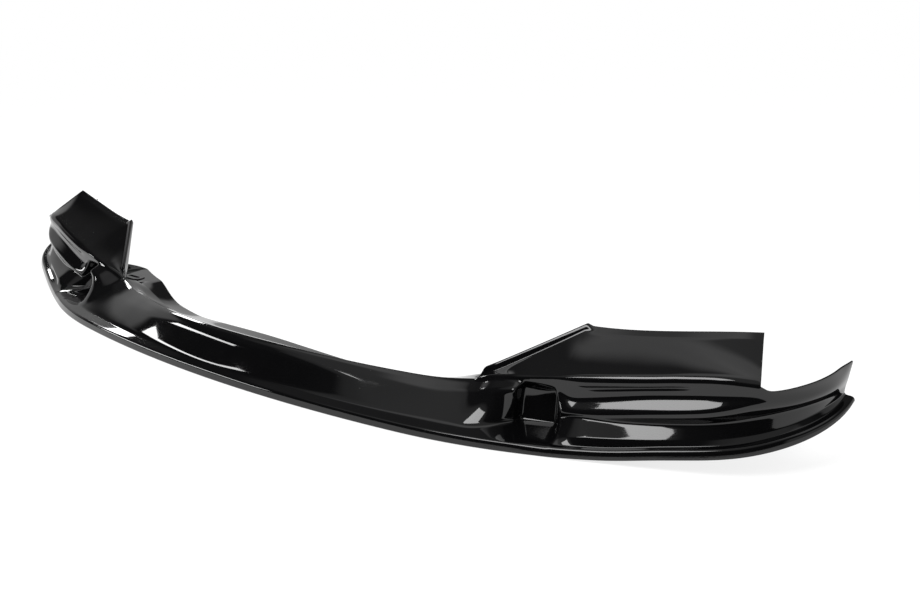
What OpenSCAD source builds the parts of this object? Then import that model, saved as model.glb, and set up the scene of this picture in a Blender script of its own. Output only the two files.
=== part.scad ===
// Front splitter lip for a car bumper, one moulded piece, symmetric left to right.
// +X is across the car, +Y points to the rear, +Z is up, and all sizes are in mm.
// A plan curve follows the front bottom edge from the middle to a wheel-side end.
// Every feature line is placed by its setback behind that curve and its height.

/* [Plan outline] */
// Length of the nearly straight middle strip, from the middle of the car
strip_length = 380; // [340:5:420]
// Sweep angle at the end of the middle strip
strip_sweep = 9; // [5:0.5:13]
// Length of the shoulder that turns back to the wing
shoulder_length = 180; // [150:5:210]
// Sweep angle at the start of the wing
wing_start_sweep = 23; // [16:1:30]
// Length of the wing
wing_length = 235; // [200:5:270]
// Sweep angle at the end of the wing
wing_end_sweep = 25; // [18:1:34]
// Length of the corner that wraps round to the wheel
corner_length = 250; // [225:5:280]
// Sweep angle at the wheel end
corner_sweep = 100; // [85:1:105]

/* [Sheet and edge] */
// Thickness of the moulded wall
wall = 3; // [2:0.1:4]
// Width of the flat underside behind the front edge
underside_width = 34; // [24:1:40]
// Height of the front edge face along the middle
edge_height = 12; // [9:0.5:15]
// Height of the front edge face at the corner
corner_edge_height = 12.5; // [10:0.5:15]
// Height of the front edge face at the wheel end
tail_edge_height = 5; // [4:0.5:8]
// Lean of the front edge face
edge_lean = 2.5; // [1:0.5:5]
// Size of the rolled top of the wing's front edge
edge_roll = 6.5; // [4:0.5:8]
// Depth of the ledge behind that roll
ledge_depth = 8; // [6:0.5:10]
// Rise of the front edge at the wheel end
tail_rise = 66; // [56:1:74]

/* [Middle strip] */
// Height of the crest at the middle of the car
crest_height = 67; // [60:1:74]
// Setback of the crest at the middle of the car
crest_setback = 34; // [29:1:40]
// Height of the crest where the strip meets the wing
crest_end_height = 49; // [45:1:53]
// Setback of the crest where the strip meets the wing
crest_end_setback = 90; // [84:1:96]
// Width of the bevel below the crest, at the middle
bevel_width = 8; // [6:1:11]
// Drop of the bevel below the crest
bevel_drop = 8; // [5:1:11]
// Width of the rounded top of the crest
crest_width = 7; // [5:0.5:9]
// Height of the crease at the foot of the main face
crease_height = 18; // [15:1:22]
// Hollow of the main face
face_hollow = 1; // [0:0.5:4]
// Setback of the rear edge of the top flange at the middle
flange_setback = 140; // [128:1:150]
// Fall of the top flange from the crest to its rear edge
flange_fall = 34; // [26:1:40]

/* [Wing] */
// Height of the shelf's rear edge, halfway along the wing
shelf_height = 72; // [69:1:75]
// Height of the blade's rounded nose, halfway along the wing
nose_height = 55.5; // [52:0.5:59]
// Setback of the blade's rounded nose, halfway along the wing
nose_setback = 34.5; // [31:0.5:38]
// Height of the line under the blade, halfway along the wing
blade_low_height = 43; // [40:1:46]
// Setback of the line under the blade, halfway along the wing
blade_low_setback = 37; // [34:1:40]
// Height of the channel's front foot
foot_height = 29.5; // [26:0.5:33]
// Setback of the channel's front foot
foot_setback = 16; // [12:1:20]
// Height of the fold between blade and panel at its outer end
fold_height = 113; // [107:1:119]
// Height of the panel's top corner nearest the middle
panel_inner_height = 133; // [124:1:142]
// Height of the panel's top corner nearest the wheel
panel_outer_height = 161; // [152:1:170]
// Setback of the panel's top corner nearest the middle
panel_inner_setback = 164; // [156:1:172]
// Setback of the panel's top corner nearest the wheel
panel_outer_setback = 82; // [74:1:90]
// Length from the panel's pointed tip to the start of the wing
panel_tip_lead = 105; // [97:1:112]
// Length from the start of the wing to the panel's top corner nearest the middle
panel_inner_run = 59; // [50:1:68]
// Length from the end of the wing to the panel's top corner nearest the wheel
panel_outer_run = 119; // [112:1:126]
// Length from the end of the wing to the foot of the panel's outer edge
panel_foot_run = 71; // [64:1:78]
// Sag of the panel's top edge
panel_sag = 4; // [0:0.5:8]
// Height of the wall at the wheel end
tail_height = 119; // [111:1:127]
// Setback of the top of the wall at the wheel end
tail_top_setback = 7; // [4:0.5:10]
// Width of the rolled bead along the sloping panel edge
bead_width = 12; // [9:0.5:14]
// Height of that bead at the panel's pointed tip
bead_height = 13; // [9:0.5:14]
// Height of that bead at its upper end
bead_end_height = 6; // [3:0.5:9]

/* [Pocket] */
// Length from the start of the wing to the inner end of its blade
nose_lead = 38; // [30:1:44]
// Length of the pocket at the inner end of the blade
pocket_length = 58; // [50:1:66]
// Length over which the pocket's end walls turn in
pocket_turn = 14; // [9:1:18]
// Setback of the top of the pocket's rear wall
pocket_setback = 88; // [84:1:90]
// Lean of the pocket's rear wall
pocket_lean = 10; // [6:1:14]
// Height of the pocket's floor
pocket_floor = 17; // [14:0.5:21]
// Height of the pocket's rear wall
pocket_top = 62; // [58:1:66]

/* [Mounting ears] */
// Length from a slot to the start of the wing
slot_lead = 40; // [30:1:50]
// Setback of a slot
slot_setback = 140; // [135:1:146]
// Height of the ears' flat seats
seat_height = 43; // [39:1:46]
// Length of a slot along the car's width
slot_length = 32; // [16:1:40]
// Width of a slot
slot_width = 8; // [6:0.5:10]
// Margin of the raised pad round a slot
pad_margin = 9; // [6:0.5:11]
// Height of the raised pad
pad_height = 1.5; // [1:0.1:3]
// Setback of the ears' rear edge
ear_setback = 178; // [170:1:188]
// Length by which an ear reaches past the start of the wing
ear_reach = 46; // [36:1:56]

/* [Hidden] */
$fn = 48;

// Places along the front edge, as lengths from the middle of the car
shoulder_at = strip_length;
wing_at = shoulder_at + shoulder_length;
corner_at = wing_at + wing_length;
tail_at = corner_at + corner_length;
tip_at = wing_at - panel_tip_lead;
nose_at = wing_at + nose_lead;
pocket_in = nose_at - pocket_length;
peak_at = wing_at + panel_inner_run * 2 / 3;
panel_end_at = corner_at + panel_foot_run;
ear_end_at = wing_at + ear_reach;

function clamp01(t) = min(1, max(0, t));
function mix(a, b, t) = a + (b - a) * t;
function ease(t) = let (c = clamp01(t)) c * c * (3 - 2 * c);
function ramp(s, from, to) = ease((s - from) / (to - from));

// Plan curve of the front edge: four arcs, each given as length, start angle and end angle
arcs = [
    [strip_length, 0, strip_sweep],
    [shoulder_length, strip_sweep, wing_start_sweep],
    [wing_length, wing_start_sweep, wing_end_sweep],
    [corner_length, wing_end_sweep, corner_sweep],
];
function arc_angle(k, run) = mix(arcs[k][1], arcs[k][2], run / arcs[k][0]);
function arc_step(k, run) =
    let (a = arcs[k][1], b = arc_angle(k, run))
    abs(b - a) < 0.001 ? run * [cos(a), sin(a)]
    : run * 180 / PI / (b - a) * [sin(b) - sin(a), cos(a) - cos(b)];
function edge_run(s, k = 0, at = [0, 0]) =
    s <= arcs[k][0] || k == len(arcs) - 1
    ? [at + arc_step(k, s), arc_angle(k, s)]
    : edge_run(s - arcs[k][0], k + 1, at + arc_step(k, arcs[k][0]));

// A point at length s along the front edge, with its setback and height
function lip_point(s, setback, height) =
    let (e = edge_run(abs(s)), side = s < 0 ? -1 : 1)
    [side * (e[0][0] - setback * sin(e[1])), e[0][1] + setback * cos(e[1]), height];

// A smooth curve through [place, value] pairs that never overshoots them
function secant(c, i) = (c[i + 1][1] - c[i][1]) / (c[i + 1][0] - c[i][0]);
function slope(c, i) =
    i == 0 ? (c[0][0] == 0 ? 0 : secant(c, 0))
    : i == len(c) - 1 ? secant(c, i - 1)
    : let (a = secant(c, i - 1), b = secant(c, i)) a * b <= 0 ? 0 : 2 * a * b / (a + b);
function span(c, s, i = 0) = i >= len(c) - 2 || s < c[i + 1][0] ? i : span(c, s, i + 1);
function along(c, s) =
    s <= c[0][0] ? c[0][1]
    : s >= c[len(c) - 1][0] ? c[len(c) - 1][1]
    : let (i = span(c, s), w = c[i + 1][0] - c[i][0], t = (s - c[i][0]) / w)
      (1 + 2 * t) * pow(1 - t, 2) * c[i][1] + t * pow(1 - t, 2) * w * slope(c, i)
      + t * t * (3 - 2 * t) * c[i + 1][1] + t * t * (t - 1) * w * slope(c, i + 1);

// Front bottom edge and front face
bottom_line = [[0, 0], [wing_at + 30, 0], [wing_at + 100, 3], [wing_at + 184, 13],
    [corner_at + 41, 24], [corner_at + 105, 35], [tail_at, tail_rise]];
face_line = [[0, edge_height], [wing_at, edge_height], [corner_at + 85, corner_edge_height],
    [tail_at, tail_edge_height]];
underside_line = [[0, underside_width], [corner_at, underside_width * 0.8], [tail_at, 14]];

// Crease at the foot of the strip's main face, then the front foot of the wing's channel
foot_set = [[0, 16], [shoulder_at / 2, 22], [shoulder_at, 25], [pocket_in - 70, 26],
    [pocket_in - 49, 33], [pocket_in - 22, 52], [pocket_in + 6, 74], [nose_at - 20, 74],
    [nose_at, 42], [nose_at + 22, foot_setback + 10], [nose_at + 62, foot_setback],
    [nose_at + 167, foot_setback + 1], [corner_at + 71, foot_setback + 3],
    [tail_at, tail_top_setback + 8]];
foot_rise = [[0, crease_height], [shoulder_at / 2, crease_height],
    [shoulder_at, crease_height - 3], [tip_at, crease_height], [nose_at, crease_height + 3],
    [nose_at + 22, foot_height - 3.5], [wing_at + 80, foot_height - 1.5],
    [wing_at + 120, foot_height], [wing_at + 160, foot_height + 2.5],
    [wing_at + 200, foot_height + 6], [corner_at, foot_height + 10],
    [corner_at + 35, foot_height + 14.5], [panel_end_at, foot_height + 19],
    [tail_at - 125, tail_rise - 8.5], [tail_at - 85, tail_rise - 1],
    [tail_at, tail_rise + tail_edge_height + 3]];

// Crest of the strip, then the rear edge of the wing's shelf
crest_set = [[0, crest_setback], [shoulder_at * 0.53, crest_setback + 16],
    [shoulder_at * 0.76, crest_end_setback - 14], [shoulder_at, crest_end_setback],
    [tip_at, crest_end_setback + 8], [tip_at + 48, 86], [wing_at, 76], [nose_at - 4, 69],
    [nose_at + 22, 63.5], [wing_at + 80, 59], [wing_at + 120, 51.5], [wing_at + 160, 45],
    [wing_at + 200, 39], [corner_at, 33.5], [panel_end_at, 19.5],
    [panel_end_at + 20, 15.5], [tail_at - 85, 14], [tail_at, tail_top_setback + 3]];
crest_rise = [[0, crest_height], [shoulder_at * 0.53, crest_height - 5],
    [shoulder_at * 0.76, crest_end_height + 2], [shoulder_at, crest_end_height],
    [tip_at, crest_end_height + 5], [tip_at + 48, 67], [wing_at, 73], [nose_at - 4, 71],
    [nose_at + 16, shelf_height - 13], [wing_at + 80, shelf_height - 8.5],
    [wing_at + 120, shelf_height], [wing_at + 160, shelf_height + 8],
    [wing_at + 200, shelf_height + 14], [corner_at, shelf_height + 19],
    [panel_end_at, fold_height - 15], [tail_at, tail_height - 15]];

// Fold between the blade and the panel, then the top of the wall that runs to the wheel
fold_set = [[tip_at, crest_end_setback + 15], [tip_at + 25, 98], [tip_at + 60, 87], [wing_at, 77],
    [wing_at + 78, 57.5], [wing_at + 160, 43], [corner_at, 32], [panel_end_at, 18],
    [panel_end_at + 20, 14], [tail_at - 105, 13], [tail_at - 30, 13],
    [tail_at, tail_top_setback]];
fold_rise = [[tip_at, crest_end_height + 9], [tip_at + 25, 67], [tip_at + 60, 74], [wing_at, 80],
    [wing_at + 78, 92], [wing_at + 160, fold_height - 9], [corner_at - 30, fold_height - 2],
    [corner_at + 30, fold_height + 3], [panel_end_at, fold_height],
    [panel_end_at + 14, fold_height - 7], [tail_at - 105, fold_height - 3],
    [tail_at, tail_height]];

// Rounded nose of the blade below the shelf
nose_set = [[nose_at - 8, nose_setback + 31.5], [nose_at, nose_setback + 22.5],
    [nose_at + 12, nose_setback + 17], [wing_at + 80, nose_setback + 9],
    [wing_at + 120, nose_setback], [wing_at + 160, nose_setback - 7],
    [wing_at + 200, nose_setback - 11.5], [corner_at, nose_setback - 13],
    [corner_at + 35, nose_setback - 14], [panel_end_at, nose_setback - 16.5],
    [tail_at - 125, tail_top_setback + 6.5], [tail_at, tail_top_setback + 4.5]];
nose_rise = [[nose_at, nose_height - 13.5], [nose_at + 22, nose_height - 10.5],
    [wing_at + 80, nose_height - 7], [wing_at + 120, nose_height],
    [wing_at + 160, nose_height + 6.5], [wing_at + 200, nose_height + 12.5],
    [corner_at, nose_height + 17.5], [corner_at + 35, nose_height + 24.5],
    [panel_end_at, fold_height - 26], [tail_at - 125, fold_height - 25],
    [tail_at, tail_height - 24]];

// Line under the blade, where the channel begins
low_set = [[nose_at - 8, blade_low_setback + 31], [nose_at, blade_low_setback + 23],
    [nose_at + 12, blade_low_setback + 17.5], [wing_at + 80, blade_low_setback + 7],
    [wing_at + 120, blade_low_setback], [wing_at + 160, blade_low_setback - 4],
    [wing_at + 200, blade_low_setback - 7.5], [corner_at, blade_low_setback - 9],
    [panel_end_at, blade_low_setback - 12], [tail_at - 125, tail_top_setback + 13],
    [tail_at, tail_top_setback + 7]];
low_rise = [[nose_at, blade_low_height - 14], [nose_at + 22, blade_low_height - 10],
    [wing_at + 80, blade_low_height - 5.5], [wing_at + 120, blade_low_height],
    [wing_at + 160, blade_low_height + 4], [wing_at + 200, blade_low_height + 9],
    [corner_at, blade_low_height + 13.5], [panel_end_at, blade_low_height + 24.5],
    [tail_at - 125, tail_rise + 10], [tail_at, tail_rise + 17]];

// How far the section at s is on its way from the strip's shape to the wing's
function wingness(s) = ramp(s, pocket_in, nose_at);
function in_pocket(s) =
    ramp(s, pocket_in - pocket_turn / 2, pocket_in + pocket_turn / 2)
    * (1 - ramp(s, nose_at - pocket_turn / 2, nose_at + pocket_turn / 2));

// Feature points of the outer face at length s, as [setback, height]
function bottom_rise(s) = along(bottom_line, s);
function front_face(s) = along(face_line, s);
function row_underside(s) = [along(underside_line, s), bottom_rise(s)];
function row_bottom(s) = [0, bottom_rise(s)];
function row_edge(s) = [edge_lean, bottom_rise(s) + front_face(s)];
function row_crest(s) = [along(crest_set, s), along(crest_rise, s)];
function row_fold(s) =
    s < tip_at ? row_crest(s) + [crest_width, crest_width / 3]
    : [along(fold_set, s), along(fold_rise, s)];
function row_bevel_strip(s) =
    let (widen = ramp(s, shoulder_at * 0.3, shoulder_at))
    row_crest(s) - [mix(bevel_width, bevel_width + 11, widen), bevel_drop];
function row_low_wing(s) = [along(low_set, s), along(low_rise, s)];
function row_nose(s) = [along(nose_set, s), along(nose_rise, s)];
function row_foot_open(s) = [along(foot_set, s), along(foot_rise, s)];
function row_face_strip(s) =
    mix(row_foot_open(s), row_bevel_strip(s), 0.45) + face_hollow * [0.7, -0.7];

function row_foot(s) =
    mix(row_foot_open(s), [pocket_setback - pocket_lean, pocket_floor], in_pocket(s));
function row_ledge(s) =
    mix(mix(row_edge(s), row_foot(s), 0.5), row_edge(s) + [ledge_depth, 1],
        wingness(s) * (1 - in_pocket(s)));
function row_face(s) =
    mix(mix(row_face_strip(s), row_low_wing(s), wingness(s)),
        [pocket_setback, pocket_top], in_pocket(s));
function row_bevel(s) =
    mix(mix(row_bevel_strip(s), row_nose(s), wingness(s)),
        row_crest(s) + [wall * 0.8, -wall - 1], in_pocket(s));

// Offset of a corner b to the inner side of the wall, between neighbours a and c
function unit(v) = v / norm(v);
function right_of(v) = [v[1], -v[0]];
function inner_corner(a, b, c) =
    let (n = right_of(unit(b - a)), m = right_of(unit(c - b)), h = unit(n + m))
    b + h * wall / max(0.6, h * n);

// Top flange, with the mounting ears at its ends
flange_set = [[0, flange_setback], [shoulder_at * 0.3, flange_setback],
    [shoulder_at * 0.82, flange_setback + 23], [tip_at, ear_setback - 2],
    [wing_at, ear_setback]];
flange_rise = [[0, crest_height - flange_fall], [shoulder_at * 0.3, crest_height - flange_fall - 3],
    [shoulder_at * 0.65, crest_height - flange_fall - 13],
    [shoulder_at * 0.82, crest_height - flange_fall - 14], [tip_at - 5, seat_height]];
function earness(s) = ramp(s, shoulder_at * 0.85, tip_at - 5);
function flange_top(s, root) =
    let (rear = [along(flange_set, s), along(flange_rise, s)], e = earness(s))
    [root,
     mix(mix(root, rear, 0.25), [root[0] + 14, mix(root[1], seat_height, 0.5)], e),
     mix(mix(root, rear, 0.55), [root[0] + 24, seat_height], e),
     rear];
function flange_loop(s, root, under) =
    let (t = flange_top(s, root),
         b2 = inner_corner(t[1], t[2], t[3]),
         b1 = inner_corner(t[0], t[1], t[2]))
    [t[0], t[1], t[2], t[3], t[3] - [0, wall], b2, b1, under];

// Inner side of the wall at length s, from the crest down to the underside
function skin(s) = min(wall, 0.4 * front_face(s));
function inner_crest(s) = inner_corner(row_bevel(s), row_crest(s), row_fold(s));
function inner_bevel(s) =
    inner_corner(row_face(s), row_bevel(s), row_crest(s))
    + [wall * 0.9 * wingness(s) * (1 - in_pocket(s)), 0];
function inner_face(s) = inner_corner(row_foot(s), row_face(s), row_bevel(s));
function inner_foot(s) = inner_corner(row_ledge(s), row_foot(s), row_face(s));
function inner_ledge(s) = inner_corner(row_edge(s), row_ledge(s), row_foot(s));
function inner_lower(s) = [
    inner_face(s), inner_foot(s), inner_ledge(s),
    row_edge(s) + [wall + 1, -skin(s)],
    row_bottom(s) + [wall + 1, skin(s)],
    row_underside(s) + [0, skin(s)],
];

// Sloping panel above the fold: tip, inner corner and outer corner of its free edge
panel_slope = 28;
panel_lean = [cos(panel_slope), sin(panel_slope)];
panel_peak = lip_point(wing_at + panel_inner_run, panel_inner_setback, panel_inner_height);
panel_corner =
    lip_point(corner_at + panel_outer_run, panel_outer_setback, panel_outer_height);
tip_run = 12;
function panel_size(s) = s > panel_end_at ? 0 : ramp(s, tip_at, tip_at + tip_run);
function panel_edge(s) =
    s < peak_at
    ? mix(crest_top(tip_at, 3), panel_peak, (s - tip_at) / (peak_at - tip_at))
    : let (t = (s - peak_at) / (panel_end_at - peak_at))
      mix(panel_peak, panel_corner, t) - [0, 0, panel_sag * 6.75 * t * pow(1 - t, 2)];
function bead(s) =
    let (t = clamp01((s - tip_at) / (peak_at - tip_at)))
    mix(bead_height, bead_end_height, t) * ramp(s, tip_at, tip_at + tip_run)
    * (1 - ramp(s, peak_at - 2, peak_at + 14));

// Points over the top of the crest, or over the top of the wall near the wheel
cap_step = 1.2;
function flange_rear(s) = [along(flange_set, s), along(flange_rise, s)];
function cap_point(s, k) =
    s <= tip_at + tip_run
    ? row_fold(s) + unit(flange_rear(s) - row_fold(s)) * cap_step * k
    : k <= 3 ? row_fold(s) + [wall * k / 3, 0]
    : row_fold(s) + [wall, -cap_step * (k - 3)];
function crest_top(s, k) = lip_point(s, cap_point(s, k)[0], cap_point(s, k)[1]);

// Free edge of the panel: fold side of the bead, its rounded top as two points, and the edge
function panel_top(s) =
    let (fold = lip_point(s, row_fold(s)[0], row_fold(s)[1]), edge = panel_edge(s),
         reach = norm(edge - fold), back = (fold - edge) / max(reach, 1),
         w = min(bead_width, reach / 2), rise = [0, 0, bead(s)])
    [edge + back * w, edge + back * w * 0.7 + rise * 0.8, edge + back * w * 0.25 + rise,
     edge - rise * 0.2];
panel_drop = [0, 0, wall / cos(panel_slope)];

// Root and under-root of the flange, and the wall it grows from
function inner_fold(s) =
    mix(cap_point(s, 6), inner_corner(row_crest(s), row_fold(s), row_fold(s) + 9 * panel_lean),
        panel_size(s));
function anchor(s) = mix(inner_crest(s), inner_face(s), in_pocket(s));
function flange_root(s) =
    let (on_wall = mix(inner_fold(s), anchor(s), mix(0.3, 0.5, in_pocket(s))))
    mix(cap_point(s, 7), on_wall, s > panel_end_at ? 1 : panel_size(s));
function flange_under(s) =
    let (u = unit(flange_rear(s) - row_fold(s)),
         on_wall = mix(inner_fold(s), anchor(s), mix(0.52, 0.95, in_pocket(s))))
    mix(cap_point(s, 7) + right_of(u) * wall, on_wall, s > panel_end_at ? 1 : panel_size(s));
ear_round = 30;
function flange_size(s) =
    let (t = clamp01((s - ear_end_at + ear_round) / ear_round)) sqrt(1 - t * t);
function flange_rows(s) =
    let (size = flange_size(s), f = flange_loop(s, flange_root(s), flange_under(s)))
    [for (k = [0:7]) mix(mix(inner_fold(s), anchor(s), 0.08 + 0.09 * k), f[k], size)];
function inner_upper(s) =
    let (p = in_pocket(s), from = flange_rows(s)[7], to = inner_face(s))
    [mix(inner_crest(s), mix(from, to, 0.35), p), mix(inner_bevel(s), mix(from, to, 0.7), p)];

// A corner b between a and c, cut back to two points so that the crease is soft
function soft(a, b, c, r) =
    [b + unit(a - b) * min(r, 0.4 * norm(a - b)), b + unit(c - b) * min(r, 0.4 * norm(c - b))];
function crease_cuts(s) =
    let (w = wingness(s))
    [1.5, mix(3, edge_roll, w), 3, mix(6, 2.5, w), mix(6, 3, w), 5, 4, 4];

// Closed outline of the section at length s on the right-hand side
function section(s) =
    let (place = function (p) lip_point(s, p[0], p[1]),
         outer = [for (p = [row_underside(s), row_bottom(s), row_edge(s), row_ledge(s),
             row_foot(s), row_face(s), row_bevel(s), row_crest(s), row_fold(s)]) place(p)],
         size = panel_size(s), top = panel_top(s),
         rim = concat(top, [top[3] - panel_drop, top[0] - panel_drop]),
         edge = [for (k = [0:5]) mix(crest_top(s, 1 + k * 0.8), rim[k], size)],
         path = concat(outer, [edge[0]]), cuts = crease_cuts(s))
    concat([outer[0]],
        [for (k = [1:8]) each soft(path[k - 1], path[k], path[k + 1], cuts[k - 1])],
        edge, [place(inner_fold(s))],
        [for (p = flange_rows(s)) place(p)],
        [for (p = inner_upper(s)) place(p)],
        [for (p = inner_lower(s)) place(p)]);

// Places of the sections: even steps between the marks where the shape changes
cut = 1.5;
marks = [0, tip_at, tip_at + tip_run, pocket_in - pocket_turn / 2, pocket_in + pocket_turn / 2,
    nose_at - pocket_turn / 2, nose_at + pocket_turn / 2, nose_at + 30, panel_end_at,
    panel_end_at + cut, tail_at];
steps = [17, 3, 7, 5, 4, 6, 3, 15, 1, 13];
right_half = concat([for (k = [0:len(steps) - 1]) for (i = [0:steps[k] - 1])
    mix(marks[k], marks[k + 1], i / steps[k])], [tail_at]);

// The sections of the right-hand side, and the depth that the origin stands at
right_side = [for (s = right_half) section(s)];
depths = [for (loop = right_side) for (p = loop) p[1]];
middle_depth = (min(depths) + max(depths)) / 2;

module moulded_shell() {
    loops = concat(
        [for (k = [len(right_side) - 1:-1:1]) [for (p = right_side[k]) [-p[0], p[1], p[2]]]],
        right_side);
    m = len(loops[0]);
    n = len(loops);
    middle = len(right_side) - 1;
    polyhedron(
        points = [for (loop = loops) each loop],
        faces = concat(
            [for (i = [0:n - 2]) for (j = [0:m - 1])
                let (k = (j + 1) % m, a = i * m + j, b = i * m + k, c = b + m, d = a + m)
                each i < middle ? [[a, b, d], [b, c, d]] : [[a, c, d], [a, b, c]]],
            [[for (j = [0:m - 1]) m - 1 - j]],
            [[for (j = [0:m - 1]) (n - 1) * m + j]]),
        convexity = 8);
}

slot_place = lip_point(wing_at - slot_lead, slot_setback, seat_height);

// A bar with round ends, of length l between the end centres
module round_bar(l, w, h) {
    for (side = [-1, 1]) translate([side * l / 2, 0, 0]) cylinder(d = w, h = h);
    translate([-l / 2, -w / 2, 0]) cube([l, w, h]);
}

module at_slots() {
    for (side = [-1, 1])
        translate([side * slot_place[0], slot_place[1], slot_place[2]]) children();
}

module splitter_lip() {
    reach = slot_length - slot_width;
    color([0.03, 0.03, 0.035])
    translate([0, -middle_depth, 0])
    difference() {
        union() {
            moulded_shell();
            at_slots() translate([0, 0, -wall / 2])
                round_bar(reach, slot_width + 2 * pad_margin, wall / 2 + pad_height);
        }
        at_slots() translate([0, 0, -wall - 5]) round_bar(reach, slot_width, wall + 20);
    }
}

splitter_lip();
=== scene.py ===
"""Front splitter lip in gloss black, in a plain white studio."""
import math

import bmesh
import bpy
import numpy as np
from mathutils import Matrix, Vector


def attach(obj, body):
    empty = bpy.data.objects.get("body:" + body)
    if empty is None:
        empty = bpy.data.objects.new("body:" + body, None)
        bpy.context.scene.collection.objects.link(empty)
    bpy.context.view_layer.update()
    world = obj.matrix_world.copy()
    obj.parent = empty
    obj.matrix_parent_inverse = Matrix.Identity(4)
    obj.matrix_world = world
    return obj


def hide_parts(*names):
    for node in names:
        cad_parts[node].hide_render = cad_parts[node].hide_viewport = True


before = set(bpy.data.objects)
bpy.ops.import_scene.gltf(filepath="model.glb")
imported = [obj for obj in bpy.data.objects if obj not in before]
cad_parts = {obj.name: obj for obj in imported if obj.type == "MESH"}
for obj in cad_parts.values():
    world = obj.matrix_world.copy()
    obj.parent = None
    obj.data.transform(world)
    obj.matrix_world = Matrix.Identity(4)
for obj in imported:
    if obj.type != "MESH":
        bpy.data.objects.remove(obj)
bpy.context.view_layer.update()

# Drawing sizes of the lip, in millimetres and degrees
MM = 0.001
STRIP_LENGTH = 380.0
SHOULDER_LENGTH = 180.0
WING_LENGTH = 235.0
CORNER_LENGTH = 250.0
STRIP_SWEEP = 9.0
WING_START_SWEEP = 23.0
WING_END_SWEEP = 25.0
CORNER_SWEEP = 100.0
WALL = 3.0
MIDDLE_DEPTH = 190.65
HALF_DEPTH = 190.34

# Places along the front edge, as lengths from the middle of the car
SHOULDER_AT = STRIP_LENGTH
WING_AT = SHOULDER_AT + SHOULDER_LENGTH
CORNER_AT = WING_AT + WING_LENGTH
TAIL_AT = CORNER_AT + CORNER_LENGTH
TIP_AT = WING_AT - 105.0
TIP_RUN = 12.0
NOSE_AT = WING_AT + 38.0
POCKET_IN = NOSE_AT - 58.0
POCKET_TURN = 14.0
PEAK_RUN = 59.0
PEAK_AT = WING_AT + PEAK_RUN * 2 / 3
PANEL_END = CORNER_AT + 71.0
PANEL_CORNER_AT = CORNER_AT + 119.0
EAR_END = WING_AT + 46.0
EAR_ROUND = 30.0

# Middle strip and front edge
CREST_WIDTH = 7.0
BEVEL_WIDTH = 8.0
BEVEL_END_WIDTH = 19.0
BEVEL_DROP = 8.0
FACE_SHARE = 0.45
FACE_HOLLOW = 0.2
EDGE_LEAN = 2.5
LEDGE_DEPTH = 10.0
FLANGE_DIP = 8.0
CAP_STEP = 1.2

# Pocket, as (setback, height); its rim is measured from the shelf's rear edge
POCKET_FLOOR = (78.0, 17.0)
POCKET_TOP = (88.0, 62.0)
POCKET_RIM = (2.4, -4.0)

# Sloping panel, with its two top corners as (setback, height), and the band below its fold
PANEL_SLOPE = math.radians(28)
PANEL_PEAK = (164.0, 133.0)
PANEL_CORNER = (82.0, 161.0)
PANEL_SAG = 4.0
PANEL_HOLLOW = 2.5
BEAD_WIDTH = 12.0
BEAD_HEIGHT = 13.0
BEAD_END_HEIGHT = 6.0
BAND_HOLLOW = 1.7

# Mounting ears
SLOT_X = 466.182
SLOT_Y = 5.653
SEAT = 43.0
SLOT_REACH = 24.0
SLOT_WIDTH = 8.0
PAD_MARGIN = 9.0
PAD_HEIGHT = 1.5
BAR_SIDES = 40
SHARP_ANGLE = math.radians(38)


def mix(a, b, t):
    """Value between a and b; a and b may be rows of points and t one number a row."""
    t = np.asarray(t, float)
    if np.ndim(a) > t.ndim or np.ndim(b) > t.ndim:
        t = t[..., None]
    return a + (b - a) * t


def ramp(s, start, end):
    t = np.clip((np.asarray(s, float) - start) / (end - start), 0.0, 1.0)
    return t * t * (3.0 - 2.0 * t)


def curve(*pairs, spread=7.0):
    """A smooth line through (place, value) pairs, its bends spread over a few millimetres."""
    x = np.array([p[0] for p in pairs], float)
    y = np.array([p[1] for p in pairs], float)
    rise = np.diff(y) / np.diff(x)
    lean = np.empty(len(x))
    lean[0] = 0.0 if x[0] == 0 else rise[0]
    lean[-1] = rise[-1]
    product = rise[:-1] * rise[1:]
    total = rise[:-1] + rise[1:]
    lean[1:-1] = np.where(product > 0, 2 * product / np.where(product > 0, total, 1.0), 0.0)

    # The line is blurred by a bell, so that its slope has no sudden change
    reach = np.linspace(-2.5, 2.5, 21)
    weight = np.exp(-reach ** 2 / 2)
    weight /= weight.sum()

    def exact(s):
        c = np.clip(s, x[0], x[-1])
        i = np.clip(np.searchsorted(x, c, side="right") - 1, 0, len(x) - 2)
        w = x[i + 1] - x[i]
        t = (c - x[i]) / w
        return ((1 + 2 * t) * (1 - t) ** 2 * y[i] + t * (1 - t) ** 2 * w * lean[i]
                + t * t * (3 - 2 * t) * y[i + 1] + t * t * (t - 1) * w * lean[i + 1])

    def line(s):
        s = np.asarray(s, float)
        return sum(w * exact(np.abs(s + r * spread)) for w, r in zip(weight, reach))

    return line


def plan_table(step=1.0, spread=16.0, margin=60.0):
    """Places, points and sweep angles along the front bottom edge."""
    s = np.arange(-margin, TAIL_AT + margin, step)
    marks = [0.0, SHOULDER_AT, WING_AT, CORNER_AT, TAIL_AT]
    sweeps = [0.0, STRIP_SWEEP, WING_START_SWEEP, WING_END_SWEEP, CORNER_SWEEP]
    raw = np.interp(np.abs(s), marks, sweeps) * np.sign(s)
    half = round(3 * spread / step)
    reach = np.arange(-half, half + 1)
    weight = np.exp(-(reach * step / spread) ** 2 / 2)
    weight /= weight.sum()
    padded = np.pad(raw, half, mode="reflect", reflect_type="odd")
    angle = np.radians(np.convolve(padded, weight, mode="valid"))
    x = np.concatenate([[0.0], np.cumsum((np.cos(angle[1:]) + np.cos(angle[:-1])) / 2 * step)])
    y = np.concatenate([[0.0], np.cumsum((np.sin(angle[1:]) + np.sin(angle[:-1])) / 2 * step)])
    zero = np.argmin(np.abs(s))
    return s, x - x[zero], y - y[zero], angle


PLAN = plan_table()


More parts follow.
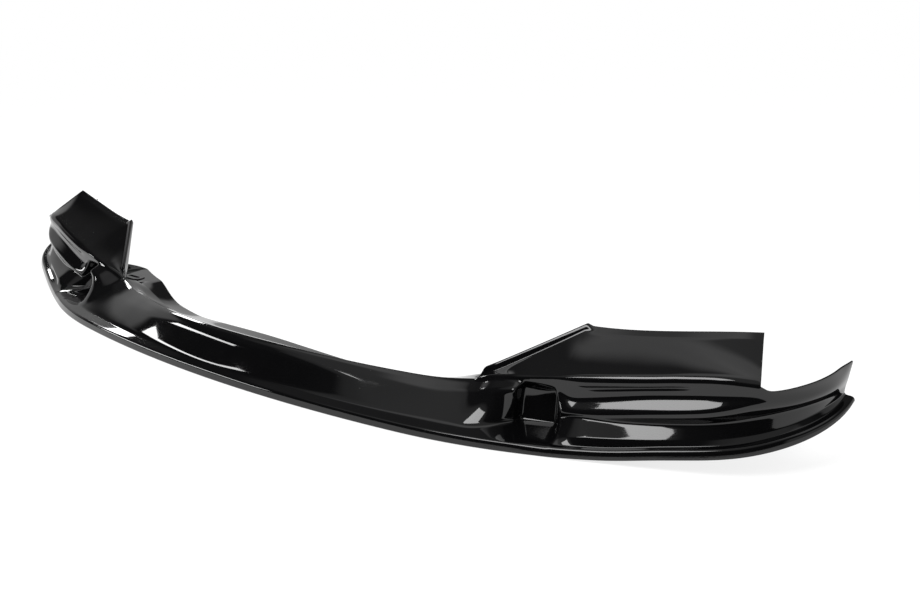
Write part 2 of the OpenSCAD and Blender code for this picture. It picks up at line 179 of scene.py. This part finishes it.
def place(s, point):
    """Points given as (setback, height) at places s, as (x, y, z) in the lip's own frame."""
    x = np.interp(s, PLAN[0], PLAN[1])
    y = np.interp(s, PLAN[0], PLAN[2])
    a = np.interp(s, PLAN[0], PLAN[3])
    return np.stack([x - point[..., 0] * np.sin(a), y + point[..., 0] * np.cos(a),
                     point[..., 1] + 0 * s], axis=-1)


def unit(v):
    return v / np.maximum(np.linalg.norm(v, axis=-1, keepdims=True), 1e-9)


# Lines of the section as (place, setback) or (place, height): underside, front face, foot,
# crest, fold, the blade's nose, the line under the blade, and the flange's rear edge
bottom_line = curve((0, 0), (WING_AT + 30, 0), (WING_AT + 100, 3), (WING_AT + 184, 13),
                    (CORNER_AT + 41, 24), (CORNER_AT + 105, 35), (TAIL_AT, 66))
face_line = curve((0, 12), (WING_AT, 12), (CORNER_AT + 85, 12.5), (TAIL_AT, 5))
underside_line = curve((0, 34), (CORNER_AT, 27), (TAIL_AT, 14))
foot_set = curve((0, 13), (190, 21), (380, 25), (POCKET_IN - 70, 26), (POCKET_IN - 49, 33),
                 (POCKET_IN - 22, 52), (POCKET_IN + 6, 74), (NOSE_AT - 20, 72), (NOSE_AT, 38),
                 (NOSE_AT + 22, 21.5), (NOSE_AT + 62, 16), (NOSE_AT + 167, 17),
                 (CORNER_AT + 71, 19), (TAIL_AT, 15))
foot_rise = curve((0, 18), (190, 18), (380, 15), (TIP_AT, 15.5), (NOSE_AT, 20), (NOSE_AT + 22, 22),
                  (WING_AT + 80, 26), (WING_AT + 120, 29), (WING_AT + 160, 32),
                  (WING_AT + 200, 35.5), (CORNER_AT, 39.5), (CORNER_AT + 35, 44),
                  (PANEL_END, 48.5), (TAIL_AT - 125, 57.5), (TAIL_AT - 85, 65), (TAIL_AT - 45, 71),
                  (TAIL_AT, 74))
crest_set = curve((0, 34), (110, 41.5), (201, 54.5), (289, 73), (380, 90), (TIP_AT, 98),
                  (TIP_AT + 48, 86), (WING_AT, 76), (NOSE_AT - 4, 69), (NOSE_AT + 22, 63.5),
                  (WING_AT + 80, 59),
                  (WING_AT + 120, 51.5), (WING_AT + 160, 45), (WING_AT + 200, 39),
                  (CORNER_AT, 34.5), (PANEL_END, 20), (PANEL_END + 20, 15.5),
                  (TAIL_AT - 85, 14), (TAIL_AT, 10))
crest_rise = curve((0, 67), (110, 64.5), (201, 59.5), (289, 53), (380, 49), (TIP_AT, 54),
                   (TIP_AT + 48, 67), (WING_AT, 73), (NOSE_AT - 4, 71), (NOSE_AT + 16, 59),
                   (WING_AT + 80, 63.5),
                   (WING_AT + 120, 72), (WING_AT + 160, 80), (WING_AT + 200, 86),
                   (CORNER_AT, 91), (PANEL_END, 98), (TAIL_AT - 85, 101), (TAIL_AT, 104))
fold_set = curve((TIP_AT, 105), (TIP_AT + 25, 98), (TIP_AT + 60, 87), (WING_AT, 77),
                 (WING_AT + 78, 57.5), (WING_AT + 160, 43), (CORNER_AT, 32), (PANEL_END, 18),
                 (PANEL_END + 20, 14), (TAIL_AT - 105, 13), (TAIL_AT - 30, 13), (TAIL_AT, 7))
fold_rise = curve((TIP_AT, 58), (TIP_AT + 25, 67), (TIP_AT + 60, 74), (WING_AT, 80),
                  (WING_AT + 78, 92), (WING_AT + 160, 104), (CORNER_AT - 30, 111),
                  (CORNER_AT + 30, 116), (PANEL_END, 113), (PANEL_END + 14, 106),
                  (TAIL_AT - 105, 110), (TAIL_AT, 119), spread=4.0)
nose_set = curve((NOSE_AT - 8, 66), (NOSE_AT, 57), (NOSE_AT + 12, 51.5), (WING_AT + 80, 43.5),
                 (WING_AT + 120, 34.5), (WING_AT + 160, 27), (WING_AT + 200, 21.5),
                 (CORNER_AT, 19), (CORNER_AT + 35, 17.5), (PANEL_END, 16),
                 (TAIL_AT - 125, 13.5), (TAIL_AT, 11.5))
nose_rise = curve((NOSE_AT, 42), (NOSE_AT + 22, 46), (WING_AT + 80, 49), (WING_AT + 120, 55.5),
                  (WING_AT + 160, 62), (WING_AT + 200, 68), (CORNER_AT, 73),
                  (CORNER_AT + 35, 80), (PANEL_END, 87), (TAIL_AT - 125, 88),
                  (TAIL_AT - 85, 90.5), (TAIL_AT, 95))
low_set = curve((NOSE_AT - 8, 68), (NOSE_AT, 60), (NOSE_AT + 12, 54.5), (WING_AT + 80, 44),
                (WING_AT + 120, 37), (WING_AT + 160, 33), (WING_AT + 200, 29.5),
                (CORNER_AT, 28), (CORNER_AT + 35, 27), (PANEL_END, 25), (TAIL_AT - 125, 20),
                (TAIL_AT, 14))
low_rise = curve((NOSE_AT, 31), (NOSE_AT + 22, 40), (WING_AT + 80, 42), (WING_AT + 120, 43.5),
                 (WING_AT + 160, 47), (WING_AT + 200, 52), (CORNER_AT, 56.5),
                 (CORNER_AT + 35, 61.5), (PANEL_END, 67.5), (TAIL_AT - 125, 76),
                 (TAIL_AT - 85, 79.5), (TAIL_AT, 83))
flange_set = curve((0, 134), (114, 134), (312, 158), (TIP_AT, 176), (WING_AT, 178))
flange_rise = curve((0, 36), (114, 33), (247, 23), (312, 21.5), (TIP_AT - 5, 43))


def rows(setback, height):
    return np.stack(np.broadcast_arrays(setback, height), axis=-1).astype(float)


def wingness(s):
    return ramp(s, POCKET_IN, NOSE_AT)


def in_pocket(s):
    half = POCKET_TURN / 2
    return (ramp(s, POCKET_IN - half, POCKET_IN + half)
            * (1 - ramp(s, NOSE_AT - half, NOSE_AT + half)))


def outer_rows(s):
    """Feature points of the outer face, from the underside up to the fold."""
    floor = bottom_line(s)
    pocket, wing = in_pocket(s), wingness(s)
    crest = rows(crest_set(s), crest_rise(s))
    fold = np.where((s < TIP_AT)[:, None], crest + [CREST_WIDTH, CREST_WIDTH / 3],
                    rows(fold_set(s), fold_rise(s)))
    widen = ramp(s, SHOULDER_AT * 0.3, SHOULDER_AT)
    bevel_strip = crest - rows(mix(BEVEL_WIDTH, BEVEL_END_WIDTH, widen), BEVEL_DROP)
    bevel_wing = rows(nose_set(s), nose_rise(s))
    foot_open = rows(foot_set(s), foot_rise(s))
    foot = mix(foot_open, POCKET_FLOOR, pocket)
    face_strip = mix(foot_open, bevel_strip, FACE_SHARE) + [FACE_HOLLOW, -FACE_HOLLOW]
    face_wing = rows(low_set(s), low_rise(s))
    edge = rows(EDGE_LEAN, floor + face_line(s))
    ledge = mix(mix(edge, foot, 0.5), edge + [LEDGE_DEPTH, 1.0], wing * (1 - pocket))
    face = mix(mix(face_strip, face_wing, wing), POCKET_TOP, pocket)
    bevel = mix(mix(bevel_strip, bevel_wing, wing), crest + POCKET_RIM, pocket)
    return [rows(underside_line(s), floor), rows(0.0, floor), edge, ledge, foot, face, bevel,
            crest, fold]


def inner_corner(a, b, c):
    """Corner b moved to the inner side of the wall, between its neighbours."""
    turn = np.array([[0.0, -1.0], [1.0, 0.0]])
    n, m = unit(b - a) @ turn, unit(c - b) @ turn
    h = unit(n + m)
    return b + h * WALL / np.maximum(0.6, np.sum(h * n, axis=-1, keepdims=True))


def panel_rim(s, fold, tip):
    """Free edge of the panel: a ramp with a rolled bead, then the long top edge."""
    peak = place(np.array([WING_AT + PEAK_RUN]), np.array([PANEL_PEAK]))[0]
    corner = place(np.array([PANEL_CORNER_AT]), np.array([PANEL_CORNER]))[0]
    t = np.clip((s - TIP_AT) / (PEAK_AT - TIP_AT), 0, 1)
    u = np.clip((s - PEAK_AT) / (PANEL_END - PEAK_AT), 0, 1)
    sag = np.zeros((len(s), 3))
    # The factor makes the sag's deepest point equal to PANEL_SAG
    sag[:, 2] = PANEL_SAG * 6.75 * u * (1 - u) ** 2
    free = np.where((s < PEAK_AT)[:, None], mix(tip[None], peak[None], t),
                    mix(peak[None], corner[None], u) - sag)
    bead = mix(BEAD_HEIGHT, BEAD_END_HEIGHT, t) * ramp(s, TIP_AT, TIP_AT + TIP_RUN)
    bead *= 1 - ramp(s, PEAK_AT - 2, PEAK_AT + 14)
    foot = place(s, fold)
    reach = np.linalg.norm(free - foot, axis=1)
    back = (foot - free) / np.maximum(reach, 1)[:, None]
    width = np.minimum(BEAD_WIDTH, reach / 2)[:, None]
    up = np.array([0.0, 0.0, 1.0])
    rise = up * bead[:, None]
    tops = [free + back * width, free + back * width * 0.7 + rise * 0.8,
            free + back * width * 0.25 + rise, free - rise * 0.2]
    drop = up * WALL / math.cos(PANEL_SLOPE)
    return tops + [tops[3] - drop, tops[0] - drop]


def section_lines(s):
    """Lines along the lip: the outer ones with their corner cuts, the rim and the inner ones."""
    under, bottom, edge, ledge, foot, face, bevel, crest, fold = outer_rows(s)
    rear = rows(flange_set(s), flange_rise(s))
    to_rear = unit(rear - fold)
    panel = np.where(s > PANEL_END, 0.0, ramp(s, TIP_AT, TIP_AT + TIP_RUN))
    no_flange = np.where(s > PANEL_END, 1.0, panel)
    pocket, wing = in_pocket(s), wingness(s)

    def cap(k):
        over = fold + [WALL * min(k, 3) / 3, -CAP_STEP * max(0, k - 3)]
        return np.where((s <= TIP_AT + TIP_RUN)[:, None], fold + to_rear * CAP_STEP * k, over)

    def put(points):
        return [place(s, p) for p in points]

    # Inner side of the wall
    lean = np.array([math.cos(PANEL_SLOPE), math.sin(PANEL_SLOPE)])
    inner_fold = mix(cap(6), inner_corner(crest, fold, fold + 9 * lean), panel)
    inner_crest = inner_corner(bevel, crest, fold)
    inner_face = inner_corner(foot, face, bevel)
    inner_foot = inner_corner(ledge, foot, face)
    inner_bevel = inner_corner(face, bevel, crest) + rows(2.7 * wing * (1 - pocket), 0.0)
    anchor = mix(inner_crest, inner_face, pocket)

    # Rear flange, which turns into a flat ear and then shrinks into the wall
    right = np.stack([to_rear[:, 1], -to_rear[:, 0]], axis=-1)
    root = mix(cap(7), mix(inner_fold, anchor, 0.3 + 0.2 * pocket), no_flange)
    under_root = mix(cap(7) + right * WALL, mix(inner_fold, anchor, 0.52 + 0.43 * pocket),
                     no_flange)
    ear = ramp(s, SHOULDER_AT * 0.85, TIP_AT - 5)
    dip = [0.0, FLANGE_DIP]
    f1 = mix(mix(root, rear, 0.17) - dip, rows(root[:, 0] + 14, mix(root[:, 1], SEAT, 0.5)), ear)
    f2 = mix(mix(root, rear, 0.55) - dip, rows(root[:, 0] + 24, SEAT), ear)
    flange = [root, f1, f2, rear, rear - [0, WALL], inner_corner(f1, f2, rear),
              inner_corner(root, f1, f2), under_root]
    size = np.clip((s - EAR_END + EAR_ROUND) / EAR_ROUND, 0, 1)
    size = np.sqrt(np.maximum(0, 1 - size * size))
    flange = [mix(mix(inner_fold, anchor, 0.08 + 0.09 * k), f, size)
              for k, f in enumerate(flange)]
    upper = [mix(inner_crest, mix(flange[7], inner_face, 0.35), pocket),
             mix(inner_bevel, mix(flange[7], inner_face, 0.7), pocket)]
    skin = np.minimum(WALL, 0.4 * face_line(s))
    lower = [inner_face, inner_foot, inner_corner(edge, ledge, foot),
             edge + rows(WALL + 1, -skin), bottom + rows(WALL + 1, skin), under + rows(0.0, skin)]

    nearest = [np.argmin(abs(s - TIP_AT))]
    tip = place(np.array([TIP_AT]), cap(3)[nearest])[0]
    rim = [mix(place(s, cap(1 + k * 0.8)), top, panel)
           for k, top in enumerate(panel_rim(s, fold, tip))]

    # How far each outer corner is cut back, so that it turns softly
    blade = ramp(s, NOSE_AT - 10, NOSE_AT + 40)
    cuts = [0.5, 1.5, 3.0 + 3.5 * wing, 3.0 - 1.8 * wing, 6.0 - 4.8 * wing, 17.0 - 14.0 * wing,
            6.0 + 1.5 * blade, 3.5 + 1.5 * blade, 3.5 + 6.0 * blade]
    outer = list(zip(put([under, bottom, edge, ledge, foot, face, bevel, crest, fold]), cuts))
    return outer, rim, put([inner_fold]) + put(flange) + put(upper) + put(lower)


def rounded(a, b, c, cut, n):
    """n points of a soft corner at b between a and c."""
    cut = np.broadcast_to(cut, (len(b),))[:, None]
    ab, cb = np.linalg.norm(a - b, axis=1)[:, None], np.linalg.norm(c - b, axis=1)[:, None]
    p = b + unit(a - b) * np.minimum(cut, 0.42 * ab)
    q = b + unit(c - b) * np.minimum(cut, 0.42 * cb)
    t = np.linspace(0, 1, n)[None, :, None]
    return (1 - t) ** 2 * p[:, None] + 2 * t * (1 - t) * b[:, None] + t * t * q[:, None]


def relaxed(points, sag):
    """A sheet of points pulled smooth between its fixed edges, then hollowed by sag."""
    sheet = points.copy()
    for _ in range(400):
        sheet[1:-1, 1:-1] = (sheet[:-2, 1:-1] + sheet[2:, 1:-1] + sheet[1:-1, :-2]
                             + sheet[1:-1, 2:]) / 4
    t = np.linspace(0, 1, sheet.shape[1])[None, :, None]
    size = np.linalg.norm(sheet[:, -1] - sheet[:, 0], axis=1)[:, None, None]
    sheet[..., 2:] -= sag * 4 * t * (1 - t) * np.minimum(1, size / 90)
    return sheet


def shell_points(s):
    """Points of every section, as an array [section, point, xyz]."""
    outer, rim, inner = section_lines(s)
    ring = [p for p, _ in outer] + rim + inner
    # For each line of the ring: its corner's cut and points, and the steps to the next line
    cuts = [c for _, c in outer] + [2.5, 3.5, 4.5, 1.5, 1.0, 1.0] + [1.0] * len(inner)
    arcs = [2, 4, 8, 5, 6, 7, 9, 7, 9] + [4, 5, 6, 4, 2, 2] + [2] * len(inner)
    runs = [3, 3, 3, 3, 6, 5, 4, 8, 16] + [1, 1, 1, 1, 1, 9] + [2] * len(inner)
    columns, starts = [], []
    n = len(ring)
    corners = [rounded(ring[k - 1], ring[k], ring[(k + 1) % n], cuts[k], arcs[k])
               for k in range(n)]
    for k in range(n):
        columns.append(corners[k])
        starts.append(sum(c.shape[1] for c in columns) - 1)
        start, end = corners[k][:, -1], corners[(k + 1) % n][:, 0]
        steps = runs[k]
        t = (np.arange(1, steps) / steps)[None, :, None]
        if steps > 1:
            columns.append(start[:, None] + (end - start)[:, None] * t)
    points = np.concatenate(columns, axis=1)
    # The panel's upper and lower faces, which follow the fold and the rim
    wing = slice(*np.searchsorted(s, [TIP_AT + TIP_RUN, PANEL_END + 0.1]))
    for k in (8, 14):
        sheet = slice(starts[k], starts[k] + runs[k] + 1)
        points[wing, sheet] = relaxed(points[wing, sheet], PANEL_HOLLOW)
    # The band under the fold is slightly hollow along the middle of the wing
    band = slice(starts[7], starts[7] + runs[7] + 1)
    hollow = (BAND_HOLLOW * ramp(s, NOSE_AT, NOSE_AT + 60)
              * (1 - ramp(s, CORNER_AT - 55, CORNER_AT + 15)))
    profile = np.sin(np.pi * np.linspace(0, 1, runs[7] + 1) ** 1.8) ** 2
    a = np.interp(s, PLAN[0], PLAN[3])
    inward = np.stack([-np.sin(a), np.cos(a), 0 * a], axis=-1)
    points[:, band] += (hollow[:, None] * profile)[..., None] * inward[:, None]
    return points


def stations():
    """Places of the sections, closer together where the shape turns fast."""
    marks = [0, TIP_AT - 30, TIP_AT + 30, POCKET_IN - 20, PEAK_AT + 20, NOSE_AT + 40,
             PANEL_END - 20, PANEL_END, PANEL_END + 1.5, PANEL_END + 20, TAIL_AT]
    steps = [5.0, 2.2, 4.0, 1.9, 4.0, 4.5, 3.0, 1.5, 2.5, 5.0]
    out = []
    for a, b, step in zip(marks, marks[1:], steps):
        n = max(1, round((b - a) / step))
        out += [a + (b - a) * i / n for i in range(n)]
    return np.array(out + [TAIL_AT])


def make_shell():
    """The whole moulded shell as one closed mesh, mirrored from its right-hand side."""
    right = shell_points(stations())
    left = right[:0:-1] * np.array([-1.0, 1.0, 1.0])
    points = np.concatenate([left, right])
    points[..., 1] = np.clip(points[..., 1] - MIDDLE_DEPTH, -HALF_DEPTH, HALF_DEPTH)
    points *= MM
    across, around = points.shape[:2]
    bm = bmesh.new()
    bmesh.ops.create_grid(bm, x_segments=across - 1, y_segments=around, size=1.0)
    seam, first = {}, {}
    spots = []
    for v in bm.verts:
        i = round((v.co.x + 1) / 2 * (across - 1))
        j = round((v.co.y + 1) / 2 * around)
        spots.append((v, i, j))
        if j == 0:
            first[i] = v
    for v, i, j in spots:
        v.co = Vector(points[i, j % around])
        if j == around:
            seam[v] = first[i]
    bmesh.ops.weld_verts(bm, targetmap=seam)
    rims = [e for e in bm.edges if e.is_boundary]
    bmesh.ops.holes_fill(bm, edges=rims, sides=0)
    bmesh.ops.recalc_face_normals(bm, faces=bm.faces)
    for f in bm.faces:
        f.smooth = True
    mesh = bpy.data.meshes.new("splitter_shell")
    bm.to_mesh(mesh)
    bm.free()
    shell = bpy.data.objects.new("splitter_shell", mesh)
    bpy.context.scene.collection.objects.link(shell)
    return shell


def round_bars(name, width, low, high, softness=0.0):
    """Two upright bars with round ends, one over each ear, as one helper object."""
    bm = bmesh.new()
    for side in (-1, 1):
        disc = bmesh.ops.create_circle(bm, cap_ends=True, radius=width / 2,
                                     segments=BAR_SIDES)["verts"]
        bmesh.ops.rotate(bm, verts=disc, matrix=Matrix.Rotation(math.pi / BAR_SIDES, 3, "Z"))
        for v in disc:
            v.co.x += math.copysign(SLOT_REACH / 2, v.co.x)
        bmesh.ops.translate(bm, verts=disc, vec=(side * SLOT_X, SLOT_Y, low))
        faces = [f for f in bm.faces if set(f.verts) <= set(disc)]
        raised = bmesh.ops.extrude_face_region(bm, geom=faces, use_keep_orig=True)["geom"]
        top = [g for g in raised if isinstance(g, bmesh.types.BMVert)]
        bmesh.ops.translate(bm, verts=top, vec=(0, 0, high - low))
        rim = {e for v in top for e in v.link_edges if e.other_vert(v) in top}
        if softness:
            bmesh.ops.bevel(bm, geom=list(rim), offset=softness, segments=3, profile=0.5,
                            affect="EDGES", material=-1)
    bmesh.ops.recalc_face_normals(bm, faces=bm.faces)
    for v in bm.verts:
        v.co *= MM
    mesh = bpy.data.meshes.new(name)
    bm.to_mesh(mesh)
    bm.free()
    bars = bpy.data.objects.new(name, mesh)
    bpy.context.scene.collection.objects.link(bars)
    return bars


def cut_ears(shell):
    """Raise a pad on each ear and cut the bolt slot through it."""
    pads = round_bars("ear_pads", SLOT_WIDTH + 2 * PAD_MARGIN, SEAT - WALL / 2,
                      SEAT + PAD_HEIGHT, softness=1.0)
    slots = round_bars("ear_slots", SLOT_WIDTH, SEAT - 8, SEAT + 15)
    for tool, operation in ((pads, "UNION"), (slots, "DIFFERENCE")):
        change = shell.modifiers.new(tool.name, "BOOLEAN")
        change.object, change.operation, change.solver = tool, operation, "EXACT"
    graph = bpy.context.evaluated_depsgraph_get()
    mesh = bpy.data.meshes.new_from_object(shell.evaluated_get(graph))
    shell.modifiers.clear()
    shell.data = mesh
    for tool in (pads, slots):
        bpy.data.meshes.remove(tool.data)
    bm = bmesh.new()
    bm.from_mesh(mesh)
    for e in bm.edges:
        e.smooth = e.calc_face_angle(0) < SHARP_ANGLE
    bm.to_mesh(mesh)
    bm.free()


def map_range(tree, value, low, high, to_low, to_high, smooth=False):
    """A value of a node tree, carried over from the range low to high to another range."""
    node = tree.nodes.new("ShaderNodeMapRange")
    if smooth:
        node.interpolation_type = "SMOOTHSTEP"
    numbers = {"From Min": low, "From Max": high, "To Min": to_low, "To Max": to_high}
    for name, number in numbers.items():
        node.inputs[name].default_value = number
    tree.links.new(value, node.inputs["Value"])
    return node.outputs["Result"]


def joined(tree, operation, *values):
    """A math node over outputs of other nodes and plain numbers."""
    node = tree.nodes.new("ShaderNodeMath")
    node.operation = operation
    for socket, value in zip(node.inputs, values):
        if isinstance(value, float):
            socket.default_value = value
        else:
            tree.links.new(value, socket)
    return node.outputs[0]


def gloss_black():
    """Polished black plastic: moulding waves, orange peel, polish haze and a few dust specks."""
    mat = bpy.data.materials.new("gloss_black_plastic")
    mat.use_nodes = True
    tree = mat.node_tree
    nodes, links = tree.nodes, tree.links
    bsdf = nodes["Principled BSDF"]
    bsdf.inputs["IOR"].default_value = 1.5
    spot = nodes.new("ShaderNodeTexCoord")

    def noise(scale, detail, roughness=0.5):
        node = nodes.new("ShaderNodeTexNoise")
        node.inputs["Scale"].default_value = scale
        node.inputs["Detail"].default_value = detail
        node.inputs["Roughness"].default_value = roughness
        links.new(spot.outputs["Object"], node.inputs["Vector"])
        return node.outputs["Fac"]

    def bump(height, distance, strength, below=None):
        node = nodes.new("ShaderNodeBump")
        node.inputs["Distance"].default_value = distance
        node.inputs["Strength"].default_value = strength
        links.new(height, node.inputs["Height"])
        if below:
            links.new(below, node.inputs["Normal"])
        return node.outputs["Normal"]

    # Dust: sparse specks under a millimetre across, more of them in some places
    cells = nodes.new("ShaderNodeTexVoronoi")
    cells.inputs["Scale"].default_value = 75.0
    links.new(spot.outputs["Object"], cells.inputs["Vector"])
    speck = map_range(tree, cells.outputs["Distance"], 0.03, 0.06, 1.0, 0.0)
    patch = map_range(tree, noise(9.0, 2.0), 0.52, 0.62, 0.0, 1.0)
    dust = joined(tree, "MULTIPLY", speck, patch)

    # Haze left by the polishing cloth, and the dust on it, make the gloss a little softer
    haze = map_range(tree, noise(28.0, 5.0, 0.65), 0.35, 0.75, 0.035, 0.085)
    links.new(joined(tree, "MULTIPLY_ADD", dust, 0.35, haze), bsdf.inputs["Roughness"])

    tint = nodes.new("ShaderNodeMix")
    tint.data_type = "RGBA"
    tint.inputs["A"].default_value = (0.0016, 0.0016, 0.0018, 1)
    tint.inputs["B"].default_value = (0.011, 0.0108, 0.0105, 1)
    links.new(dust, tint.inputs["Factor"])
    links.new(tint.outputs["Result"], bsdf.inputs["Base Color"])

    waves = bump(noise(14.0, 1.0), 0.004, 0.05)
    peel = bump(noise(420.0, 2.0), 0.0002, 0.035, waves)
    links.new(peel, bsdf.inputs["Normal"])
    return mat


def make_camera():
    cam = bpy.data.cameras.new("camera")
    cam.sensor_width = 36
    cam.lens = 45.0
    obj = bpy.data.objects.new("camera", cam)
    obj.location = (1.3912, -1.21707, 0.600)
    forward = Vector((-0.6218, 0.7324, -0.2773))
    obj.rotation_euler = forward.to_track_quat("-Z", "Y").to_euler()
    bpy.context.scene.collection.objects.link(obj)
    bpy.context.scene.camera = obj


def make_world():
    """White to the camera; a dim room with a pale ceiling to the gloss."""
    world = bpy.data.worlds.new("studio")
    bpy.context.scene.world = world
    world.use_nodes = True
    tree = world.node_tree
    nodes, links = tree.nodes, tree.links
    white = nodes["Background"]
    white.inputs["Color"].default_value = (1, 1, 1, 1)
    white.inputs["Strength"].default_value = 1.0
    room = nodes.new("ShaderNodeBackground")
    way = nodes.new("ShaderNodeTexCoord")
    split = nodes.new("ShaderNodeSeparateXYZ")
    links.new(way.outputs["Generated"], split.inputs[0])

    # Greys from straight down to straight up
    shade = nodes.new("ShaderNodeValToRGB")
    shade.color_ramp.interpolation = "EASE"
    stops = [(0.0, 0.9), (0.492, 0.9), (0.502, 0.05), (0.72, 0.05), (0.862, 0.1), (0.907, 0.72),
             (0.935, 0.92)]
    elements = shade.color_ramp.elements
    while len(elements) < len(stops):
        elements.new(0.5)
    for element, (at, grey) in zip(elements, stops):
        element.position = at
        element.color = (grey, grey, grey, 1)
    height = map_range(tree, split.outputs["Z"], -1.0, 1.0, 0.0, 1.0)
    links.new(height, shade.inputs["Fac"])

    def fade(axis, low, high, to_low, to_high):
        return map_range(tree, split.outputs[axis], low, high, to_low, to_high, smooth=True)

    ceiling = joined(tree, "MULTIPLY", shade.outputs["Color"], fade("Y", 0.08, 0.2, 0.42, 1.0))
    back_wall = joined(tree, "MULTIPLY", fade("Y", -0.2, -0.08, 0.0, 0.45),
                       fade("Z", 0.36, 0.44, 1.0, 0.0))
    links.new(joined(tree, "ADD", ceiling, back_wall), room.inputs["Color"])
    path = nodes.new("ShaderNodeLightPath")
    pick = nodes.new("ShaderNodeMixShader")
    links.new(path.outputs["Is Glossy Ray"], pick.inputs["Fac"])
    links.new(white.outputs[0], pick.inputs[1])
    links.new(room.outputs[0], pick.inputs[2])
    links.new(pick.outputs[0], nodes["World Output"].inputs["Surface"])


def make_floor():
    """A pale floor that belongs to the studio and not to the lip."""
    bm = bmesh.new()
    bmesh.ops.create_grid(bm, x_segments=1, y_segments=1, size=8.0)
    mesh = bpy.data.meshes.new("floor")
    bm.to_mesh(mesh)
    bm.free()
    floor = bpy.data.objects.new("floor", mesh)
    floor.location.z = -0.0005
    bpy.context.scene.collection.objects.link(floor)
    mat = bpy.data.materials.new("white_floor")
    mat.use_nodes = True
    nodes, links = mat.node_tree.nodes, mat.node_tree.links
    nodes.remove(nodes["Principled BSDF"])
    lit = nodes.new("ShaderNodeBsdfDiffuse")
    lit.inputs["Color"].default_value = (0.25, 0.25, 0.25, 1)
    glow = nodes.new("ShaderNodeEmission")
    glow.inputs["Strength"].default_value = 0.75
    both = nodes.new("ShaderNodeAddShader")
    links.new(lit.outputs[0], both.inputs[0])
    links.new(glow.outputs[0], both.inputs[1])
    links.new(both.outputs[0], nodes["Material Output"].inputs["Surface"])
    floor.data.materials.append(mat)


def softbox(name, centre, towards, width, height, radiance, turn=None):
    """A lit panel at centre that faces the point towards, or down and turned about Z."""
    light = bpy.data.lights.new(name, "AREA")
    light.shape = "RECTANGLE"
    light.size, light.size_y = width, height
    light.energy = radiance * 4 * width * height
    obj = bpy.data.objects.new(name, light)
    obj.location = centre
    way = Vector(centre) - Vector(towards)
    if turn is None:
        obj.rotation_euler = way.to_track_quat("Z", "Y").to_euler()
    else:
        obj.rotation_euler = (0, 0, math.radians(turn))
    obj.visible_camera = False
    bpy.context.scene.collection.objects.link(obj)


make_camera()
make_world()
make_floor()
softbox("overhead_box", (0.321, -0.740, 1.65), (0.321, -0.740, 0), 1.19, 0.69, 6.5, turn=-20)
softbox("left_strip", (-1.885, -1.364, 0.62), (-0.05, -0.15, 0.05), 1.47, 0.29, 10.0)
softbox("rear_strip", (-2.15, 0.67, 1.086), (-0.1, -0.12, 0.06), 0.25, 0.34, 12.0)
shell = make_shell()
cut_ears(shell)
shell.data.materials.append(gloss_black())
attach(shell, "root")
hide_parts("splitter_lip")

view = bpy.context.scene.view_settings
view.view_transform = "Standard"
